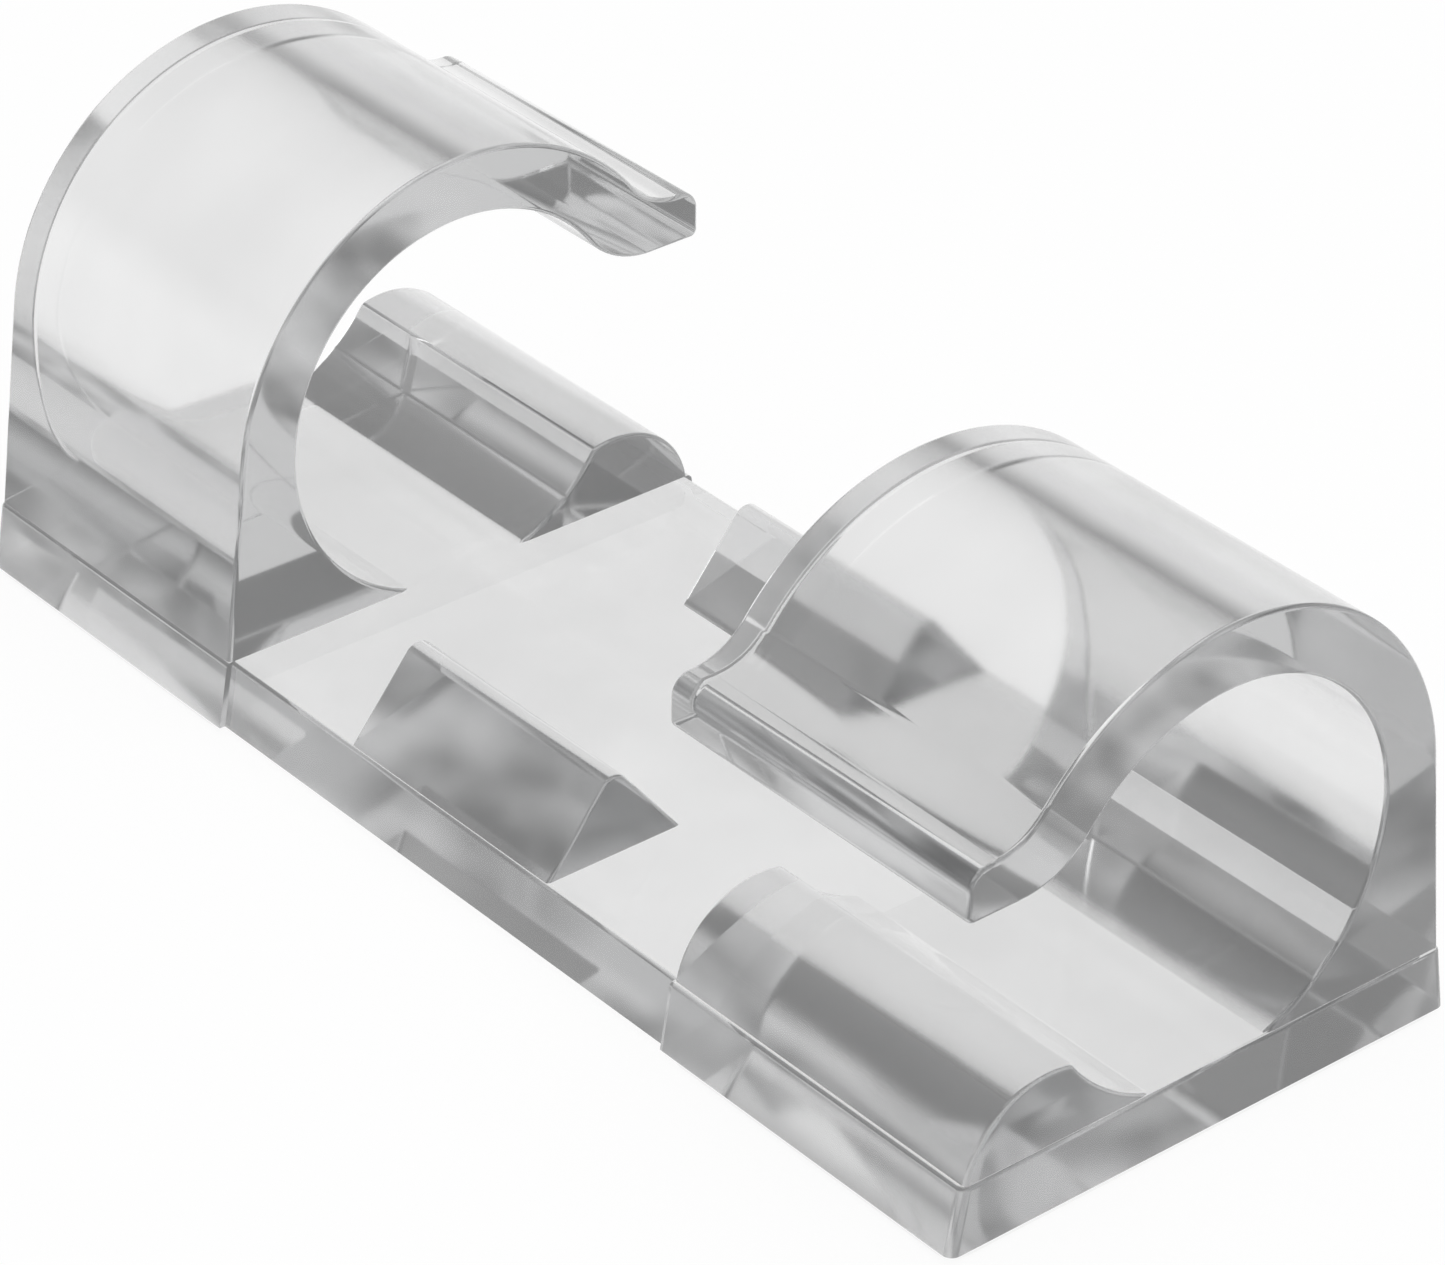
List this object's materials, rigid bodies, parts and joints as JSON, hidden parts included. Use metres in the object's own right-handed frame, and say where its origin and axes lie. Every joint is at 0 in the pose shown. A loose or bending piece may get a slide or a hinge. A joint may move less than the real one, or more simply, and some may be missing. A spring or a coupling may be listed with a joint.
{
  "type": "adhesive cable clip",
  "caption": "Clear self-adhesive cable clip: open hooks facing opposite ways over one cable line, on a flat base with low triangular ridges.",
  "frame": {"origin": "centre of the adhesive face, on the surface that the clip is stuck to", "axes": "+X along the cable, +Y across it, +Z out from the surface"},
  "size_m": [0.0254, 0.0104, 0.0093],
  "materials": {
    "clear_plastic": "clear, injection-moulded, polished",
    "adhesive_film": "clear double-sided acrylic film, slightly hazy"
  },
  "bodies": {
    "root": {"clip_body": "clear_plastic", "adhesive_film_left": "adhesive_film", "adhesive_film_right": "adhesive_film"}
  },
  "joints": []
}
